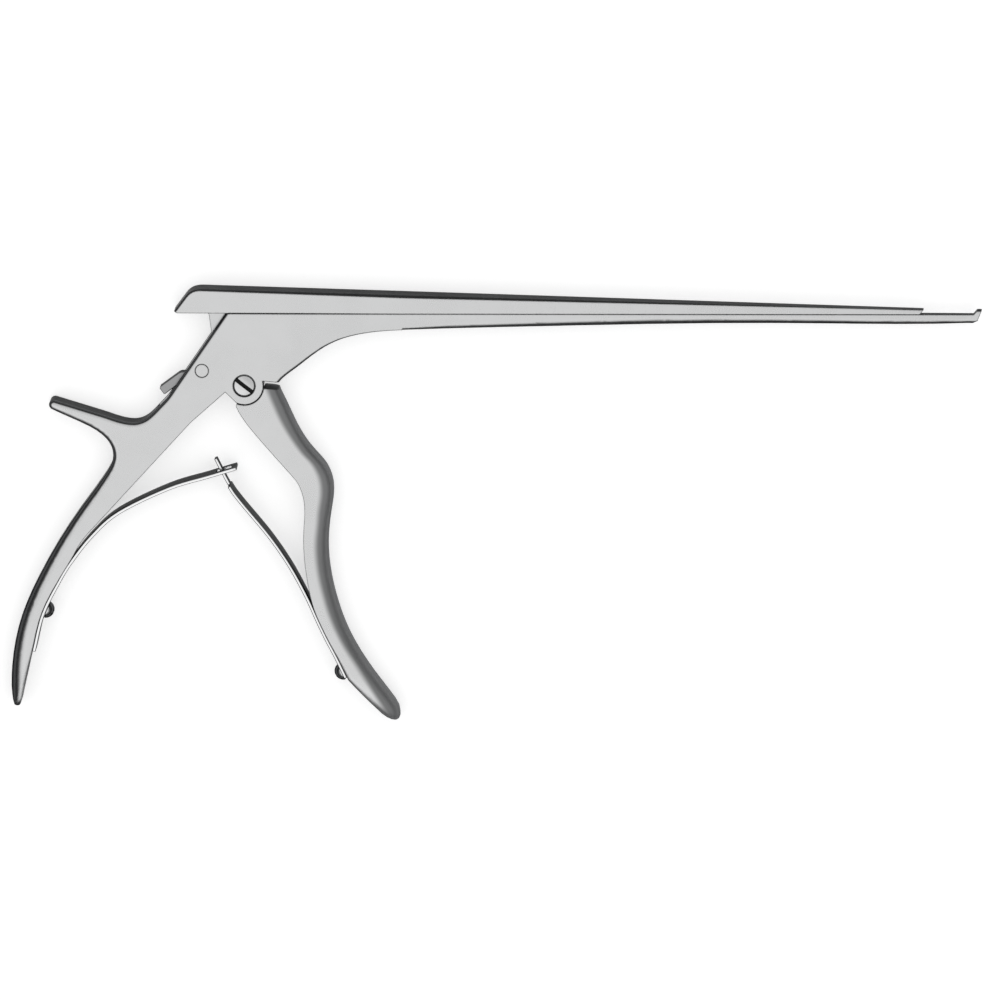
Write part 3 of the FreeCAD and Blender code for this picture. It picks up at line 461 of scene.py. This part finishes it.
class PUNCH_OT_finishes(bpy.types.Operator):
    """Steel finishes of the forged parts, the springs and the screws, with shade painted on edges, sides and
    the screw slot and a painted highlight on the leaf edges
    """
    bl_idname = "punch.finishes"
    bl_label = "Steel finishes"

    def execute(self, context):
        steel = context.scene.punch_steel
        # The edge, side, shank, band, graze, leaf and slot colours are painted shade, the leaf edge colour a
        # painted highlight
        face, edge, side_shade = tuple(steel.face_colour), tuple(steel.painted_edge_shade), tuple(steel.painted_side_shade)
        screw, lever = tuple(steel.screw_colour), tuple(steel.lever_colour)
        leaf_highlight, leaf = tuple(steel.painted_leaf_highlight), tuple(steel.painted_leaf_shade)
        forged = (steel.face_roughness, steel.side_roughness)
        satin = satin_steel(steel, "satin_steel", (face, edge, side_shade), forged, steel.edge_rounding, LONG_MARKS,
                            end_rounding=steel.end_rounding, shank_shade=tuple(steel.painted_shank_shade))
        duller = satin_steel(steel, "lever_steel", (lever, edge, side_shade), forged, steel.edge_rounding,
                             LONG_MARKS)
        slotted = satin_steel(steel, "slotted_steel", (screw, screw, screw), SLOTTED_ROUGHNESS,
                              SLOTTED_ROUNDING, EVEN_MARKS, slot_shade=(SLOT_FLOOR_Z, tuple(steel.painted_slot_shade)))
        banded = satin_steel(steel, "banded_steel", (face, tuple(steel.painted_band_shade), side_shade),
                             (steel.face_roughness, BAND_ROUGHNESS), steel.edge_rounding, LONG_MARKS,
                             end_rounding=steel.end_rounding, banded=True)
        domed = satin_steel(steel, "domed_steel", (screw, edge, side_shade), DOMED_ROUGHNESS, DOMED_ROUNDING,
                            EVEN_MARKS)
        # Painted highlight on the leaves' narrow edges, painted shade on their broad faces and rounded edges
        satin_steel(steel, "spring_steel", (leaf_highlight, edge, leaf), SPRING_ROUGHNESS, SPRING_ROUNDING,
                    CROSS_MARKS, lean=LEAF_LEAN)
        dress(["frame", "slide", "lock_pin"], satin)
        dress(["trigger"], banded)
        dress(["lock_lever"], duller)
        dress(["pivot_screw"], slotted)
        dress(["rear_spring_screw", "front_spring_screw"], domed)
        return {"FINISHED"}


# Mesh steps

def deselect_all():
    """Leaves no object selected."""
    bpy.ops.object.select_all(action="DESELECT")


def choose(mesh, kind, test):
    """Selects the vertices, edges or faces of the mesh in edit mode that pass the test."""
    bpy.ops.mesh.select_all(action="DESELECT")
    bpy.ops.mesh.select_mode(type={"verts": "VERT", "edges": "EDGE", "faces": "FACE"}[kind])
    shape = bmesh.from_edit_mesh(mesh)
    for element in getattr(shape, kind):
        element.select = test(element)
    shape.select_flush_mode()
    bmesh.update_edit_mesh(mesh)


def cut(spot, direction, **options):
    """Cuts the whole mesh in edit mode along a plane."""
    bpy.ops.mesh.select_all(action="SELECT")
    bpy.ops.mesh.bisect(plane_co=spot, plane_no=direction, **options)


def face_outward():
    """Turns all faces of the mesh in edit mode to one side."""
    bpy.ops.mesh.select_all(action="SELECT")
    bpy.ops.mesh.normals_make_consistent(inside=False)


def in_middle(point):
    """Side-view point halfway through the width."""
    return Vector((*point, MIDDLE_Z))


# Leaf springs

def smooth_path(points):
    """Points along a smooth curve through the given ones."""
    spots = [Vector((x, y, 0.0)) for x, y in points]
    ends = [2 * spots[0] - spots[1]] + spots + [2 * spots[-1] - spots[-2]]
    path = []
    for i in range(1, len(ends) - 2):
        before, start, stop, after = ends[i - 1:i + 3]
        for step in range(PATH_STEPS):
            t = step / PATH_STEPS
            straight = (stop - before) * t
            square = (2 * before - 5 * start + 4 * stop - after) * t ** 2
            cube = (3 * start - before - 3 * stop + after) * t ** 3
            path.append(0.5 * ((2 * start) + straight + square + cube))
    path.append(spots[-1])
    return path


def drawn_strip(name, points, reaches):
    """Strip drawn out along the curve from a short row of edges, with a column between each two reaches."""
    path = smooth_path(points)
    columns = len(reaches) - 1
    deselect_all()
    bpy.ops.mesh.primitive_grid_add(x_subdivisions=columns, y_subdivisions=1, size=2 * GRID_HALF)
    strip = bpy.context.object
    strip.name = name
    bpy.ops.object.mode_set(mode="EDIT")
    choose(strip.data, "verts", lambda v: v.co.y > 0.0)
    bpy.ops.mesh.delete(type="VERT")
    for column, reach in enumerate(reaches):
        x = column / columns - GRID_HALF
        choose(strip.data, "verts", lambda v: abs(v.co.x - x) < SAME_PLACE and v.co.y < UNPLACED_Y)
        bpy.ops.transform.translate(value=(path[0].x - x, path[0].y + GRID_HALF, MIDDLE_Z + reach))
    bpy.ops.mesh.select_all(action="SELECT")
    for start, stop in zip(path, path[1:]):
        bpy.ops.mesh.extrude_region_move(TRANSFORM_OT_translate={"value": stop - start})
    face_outward()
    return strip


def finish_leaf(strip, metal, thickness, edge_radius):
    """Thickens the strip away from the metal beside it, rounds its edges and gives it its finish."""
    bpy.ops.object.mode_set(mode="OBJECT")
    face = strip.data.polygons[0]
    wall = strip.modifiers.new("Wall", "SOLIDIFY")
    wall.thickness = thickness
    wall.offset = 1.0 if face.normal.dot(face.center - metal) > 0 else -1.0
    wall.use_even_offset = True
    bpy.ops.object.modifier_apply(modifier=wall.name)
    rim = strip.modifiers.new("Rim", "BEVEL")
    rim.width = edge_radius
    rim.segments = RIM_SEGMENTS
    rim.limit_method = "ANGLE"
    rim.angle_limit = RIM_ANGLE
    bpy.ops.object.modifier_apply(modifier=rim.name)
    bpy.ops.object.shade_smooth_by_angle(angle=LEAF_SMOOTH_ANGLE)
    strip.data.materials.append(bpy.data.materials["spring_steel"])


class PUNCH_OT_rear_leaf(bpy.types.Operator):
    """Slotted leaf of the rear handle"""
    bl_idname = "punch.rear_leaf"
    bl_label = "Rear leaf spring"

    def execute(self, context):
        sizes = context.scene.punch_leaves
        half, slot = sizes.width / 2, sizes.slot_width / 2
        leaf = drawn_strip("rear_leaf", REAR_SEAT + REAR_FREE, (-half, -slot, slot, half))
        for end in SLOT_ENDS_X:
            cut((end, 0.0, 0.0), (1.0, 0.0, 0.0))
        choose(leaf.data, "faces", lambda f: abs(f.calc_center_median().z - MIDDLE_Z) < slot / 2
               and SLOT_ENDS_X[0] < f.calc_center_median().x < SLOT_ENDS_X[1])
        bpy.ops.mesh.delete(type="FACE")
        finish_leaf(leaf, in_middle(REAR_SEAT[0]) - ASIDE, sizes.thickness, sizes.edge_radius)
        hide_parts("rear_leaf_spring")
        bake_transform(leaf)
        return {"FINISHED"}


class PUNCH_OT_front_leaf(bpy.types.Operator):
    """Tongued leaf of the trigger"""
    bl_idname = "punch.front_leaf"
    bl_label = "Front leaf spring"

    def execute(self, context):
        sizes = context.scene.punch_leaves
        half, tongue = sizes.width / 2, sizes.tongue_width / 2
        leaf = drawn_strip("front_leaf", FRONT_SEAT + FRONT_FREE, (-half, -tongue, tongue, half))
        cut(TONGUE_ROOT, TONGUE_DIRECTION)
        choose(leaf.data, "faces", lambda f: abs(f.calc_center_median().z - MIDDLE_Z) > tongue
               and (f.calc_center_median() - TONGUE_ROOT).dot(TONGUE_DIRECTION) > 0.0)
        bpy.ops.mesh.delete(type="FACE")
        finish_leaf(leaf, in_middle(FRONT_SEAT[0]) + ASIDE, sizes.thickness, sizes.edge_radius)
        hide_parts("front_leaf_spring")
        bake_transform(leaf)
        return {"FINISHED"}


class PUNCH_OT_lock_leaf(bpy.types.Operator):
    """Small leaf that pushes the release lever back"""
    bl_idname = "punch.lock_leaf"
    bl_label = "Lock leaf spring"

    def execute(self, context):
        sizes = context.scene.punch_leaves
        half = sizes.lock_width / 2
        leaf = drawn_strip("lock_leaf", LOCK_LEAF, (-half, half))
        finish_leaf(leaf, in_middle(LOCK_LEAF[0]) - ASIDE, sizes.lock_thickness,
                    sizes.lock_thickness / LOCK_RIM_PARTS)
        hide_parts("lock_spring")
        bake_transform(leaf)
        return {"FINISHED"}


# Trigger grip

def place_key(spot):
    """Rounded place by which a corner is found again."""
    return tuple(round(value, 7) for value in spot)


def on_cut(edge):
    """Whether the edge lies on the open cut across the trigger's grip."""
    return edge.is_boundary and all(abs((v.co - GRIP_START).dot(GRIP_AXIS)) < CUT_REACH for v in edge.verts)


def cut_section(mesh):
    """Place of each corner of the selected cut across the grip and up it, as shares of the half sizes."""
    across = Vector((-GRIP_AXIS.y, GRIP_AXIS.x, 0.0))
    spots = [v.co.copy() for v in bmesh.from_edit_mesh(mesh).verts if v.select]
    reaches = [spot.dot(across) for spot in spots]
    centre, half = (max(reaches) + min(reaches)) / 2, (max(reaches) - min(reaches)) / 2
    return {place_key(spot): ((spot.dot(across) - centre) / half, (spot.z - MIDDLE_Z) / GRIP_HALF)
            for spot in spots}


def draw_ring(mesh, section, outer, inner, thick, oval):
    """Draws the open end out to the next ring, whose section it gives back."""
    bpy.ops.mesh.extrude_region_move(TRANSFORM_OT_translate={"value": (0.0, 0.0, 0.0)})
    middle = (in_middle(outer) + in_middle(inner)) / 2
    arm = in_middle(outer) - middle
    moved = {}
    for vertex in (v for v in bmesh.from_edit_mesh(mesh).verts if v.select):
        wide, high = section[place_key(vertex.co)]
        angle = math.atan2(high, wide)
        wide_now = wide + (math.cos(angle) - wide) * oval
        high_now = high + (math.sin(angle) - high) * oval
        vertex.co = middle + arm * wide_now + Vector((0.0, 0.0, thick * high_now))
        moved[place_key(vertex.co)] = (wide, high)
    bmesh.update_edit_mesh(mesh)
    return moved


class PUNCH_OT_trigger_grip(bpy.types.Operator):
    """Trigger forging with its grip drawn out into a rounded end"""
    bl_idname = "punch.trigger_grip"
    bl_label = "Trigger grip"

    def execute(self, context):
        deselect_all()
        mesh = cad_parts["trigger"].data.copy()
        forging = bpy.data.objects.new("trigger_forging", mesh)
        context.scene.collection.objects.link(forging)
        forging.select_set(True)
        context.view_layer.objects.active = forging
        bpy.ops.mesh.customdata_custom_splitnormals_clear()
        bpy.ops.object.mode_set(mode="EDIT")
        bpy.ops.mesh.select_all(action="SELECT")
        bpy.ops.mesh.remove_doubles(threshold=WELD_DISTANCE)
        cut(GRIP_START, GRIP_AXIS, clear_outer=True)
        choose(mesh, "edges", lambda e: on_cut(e) and e.calc_length() > LONG_EDGE)
        bpy.ops.mesh.subdivide(number_cuts=LONG_EDGE_CUTS)
        choose(mesh, "edges", on_cut)
        section = cut_section(mesh)
        for ring in GRIP_RINGS:
            section = draw_ring(mesh, section, *ring)
        bpy.ops.mesh.merge(type="CENTER")
        face_outward()
        bpy.ops.object.mode_set(mode="OBJECT")
        bpy.ops.object.shade_smooth_by_angle(angle=GRIP_SMOOTH_ANGLE)
        flats = forging.modifiers.new("Flats", "WEIGHTED_NORMAL")
        flats.keep_sharp = True
        bpy.ops.object.modifier_apply(modifier=flats.name)
        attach(forging, "trigger")
        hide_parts("trigger")
        return {"FINISHED"}


# Studio

def sky(studio):
    """Room light: bright overhead and dim towards the horizon."""
    world = bpy.data.worlds.new("studio_room")
    tree = blank_tree(world)
    direction = node(tree, "ShaderNodeTexCoord").outputs["Generated"]
    strengths = (studio.sky_foot, studio.sky_foot, studio.sky_side, studio.sky_side, studio.sky_ring,
                 studio.sky_ring, studio.sky_top, studio.sky_top)
    light = node(tree, "ShaderNodeBackground")
    feed(tree, light.inputs["Strength"], float_curve(
        tree, coordinate(tree, direction, "Z"), tuple(zip(SKY_HEIGHTS, strengths)), top=SKY_LIMIT))
    out = node(tree, "ShaderNodeOutputWorld")
    feed(tree, out.inputs["Surface"], light.outputs["Background"])
    bpy.context.scene.world = world


def pale_floor(studio):
    """Pale floor that shows white where it is seen or mirrored, with the object's shadow on it."""
    deselect_all()
    bpy.ops.mesh.primitive_circle_add(
        vertices=FLOOR_CORNERS, radius=FLOOR_RADIUS, fill_type="NGON", location=(0.0, 0.0, FLOOR_Z))
    floor = bpy.context.object
    floor.name = "floor"
    material = bpy.data.materials.new("pale_floor")
    tree = blank_tree(material)
    rays = node(tree, "ShaderNodeLightPath")
    seen = calculate(tree, "MAXIMUM", rays.outputs["Is Camera Ray"], rays.outputs["Is Glossy Ray"])
    seen = calculate(tree, "MAXIMUM", seen, rays.outputs["Is Transmission Ray"])
    matt = node(tree, "ShaderNodeBsdfDiffuse")
    feed(tree, matt.inputs["Color"], studio.floor_colour)
    glow = node(tree, "ShaderNodeEmission")
    feed(tree, glow.inputs["Strength"], studio.floor_glow)
    lit = node(tree, "ShaderNodeAddShader")
    feed(tree, lit.inputs[0], matt.outputs[0])
    feed(tree, lit.inputs[1], glow.outputs[0])
    mix = node(tree, "ShaderNodeMixShader")
    for socket, value in zip(mix.inputs, (seen, matt.outputs[0], lit.outputs[0])):
        feed(tree, socket, value)
    out = node(tree, "ShaderNodeOutputMaterial")
    feed(tree, out.inputs["Surface"], mix.outputs[0])
    floor.data.materials.append(material)


def softbox(studio):
    """Large soft lamp overhead."""
    lamp = bpy.data.lights.new("softbox", "AREA")
    lamp.shape = "SQUARE"
    lamp.size = SOFTBOX_SIZE
    lamp.energy = studio.softbox_power
    holder = bpy.data.objects.new("softbox", lamp)
    holder.visible_camera = False
    bpy.context.scene.collection.objects.link(holder)
    holder.location = SOFTBOX_PLACE
    aim = Vector(studio.camera_target) - holder.location
    holder.rotation_mode = "QUATERNION"
    holder.rotation_quaternion = aim.to_track_quat("-Z", "Y")


def photo_camera(studio):
    """Long-lens camera above the instrument, leaning a little towards the slide."""
    across, along, roll = studio.camera_lean
    lean = Vector((math.tan(across), math.tan(along), 1.0)).normalized()
    right = Vector((0.0, 1.0, 0.0)).cross(lean).normalized()
    up = lean.cross(right)
    turn = Matrix((right, up, lean)).transposed() @ Matrix.Rotation(roll, 3, "Z")
    lens = bpy.data.cameras.new("camera")
    camera = bpy.data.objects.new("camera", lens)
    bpy.context.scene.collection.objects.link(camera)
    camera.location = Vector(studio.camera_target) + lean * studio.camera_distance
    camera.rotation_mode = "QUATERNION"
    camera.rotation_quaternion = turn.to_quaternion()
    lens.sensor_width = SENSOR_WIDTH
    lens.lens = SENSOR_WIDTH * studio.camera_distance / studio.picture_width
    lens.clip_start = CLIP_START
    lens.clip_end = CLIP_END
    bpy.context.scene.camera = camera


class PUNCH_OT_stage(bpy.types.Operator):
    """Floor, room light, softbox and camera"""
    bl_idname = "punch.stage"
    bl_label = "Studio"

    def execute(self, context):
        studio = context.scene.punch_studio
        context.scene.view_settings.view_transform = "Standard"
        sky(studio)
        pale_floor(studio)
        softbox(studio)
        photo_camera(studio)
        return {"FINISHED"}


# Add-on

OPERATORS = (PUNCH_OT_stage, PUNCH_OT_finishes, PUNCH_OT_rear_leaf, PUNCH_OT_front_leaf, PUNCH_OT_lock_leaf,
             PUNCH_OT_trigger_grip)


class PUNCH_PT_panel(bpy.types.Panel):
    """Steps that dress the punch"""
    bl_label = "Bone Punch"
    bl_idname = "PUNCH_PT_panel"
    bl_space_type = "VIEW_3D"
    bl_region_type = "UI"
    bl_category = "Bone Punch"

    def draw(self, context):
        for operator in OPERATORS:
            self.layout.operator(operator.bl_idname)
        for group in (context.scene.punch_steel, context.scene.punch_leaves, context.scene.punch_studio):
            box = self.layout.box()
            for name in group.__annotations__:
                box.prop(group, name)


CLASSES = (PunchSteel, PunchLeaves, PunchStudio) + OPERATORS + (PUNCH_PT_panel,)


def register():
    for item in CLASSES:
        bpy.utils.register_class(item)
    bpy.types.Scene.punch_steel = PointerProperty(type=PunchSteel)
    bpy.types.Scene.punch_leaves = PointerProperty(type=PunchLeaves)
    bpy.types.Scene.punch_studio = PointerProperty(type=PunchStudio)


def unregister():
    del bpy.types.Scene.punch_studio
    del bpy.types.Scene.punch_leaves
    del bpy.types.Scene.punch_steel
    for item in reversed(CLASSES):
        bpy.utils.unregister_class(item)


def main():
    register()
    bpy.ops.punch.stage()
    bpy.ops.punch.finishes()
    bpy.ops.punch.rear_leaf()
    bpy.ops.punch.front_leaf()
    bpy.ops.punch.lock_leaf()
    bpy.ops.punch.trigger_grip()


if __name__ == "__main__":
    main()
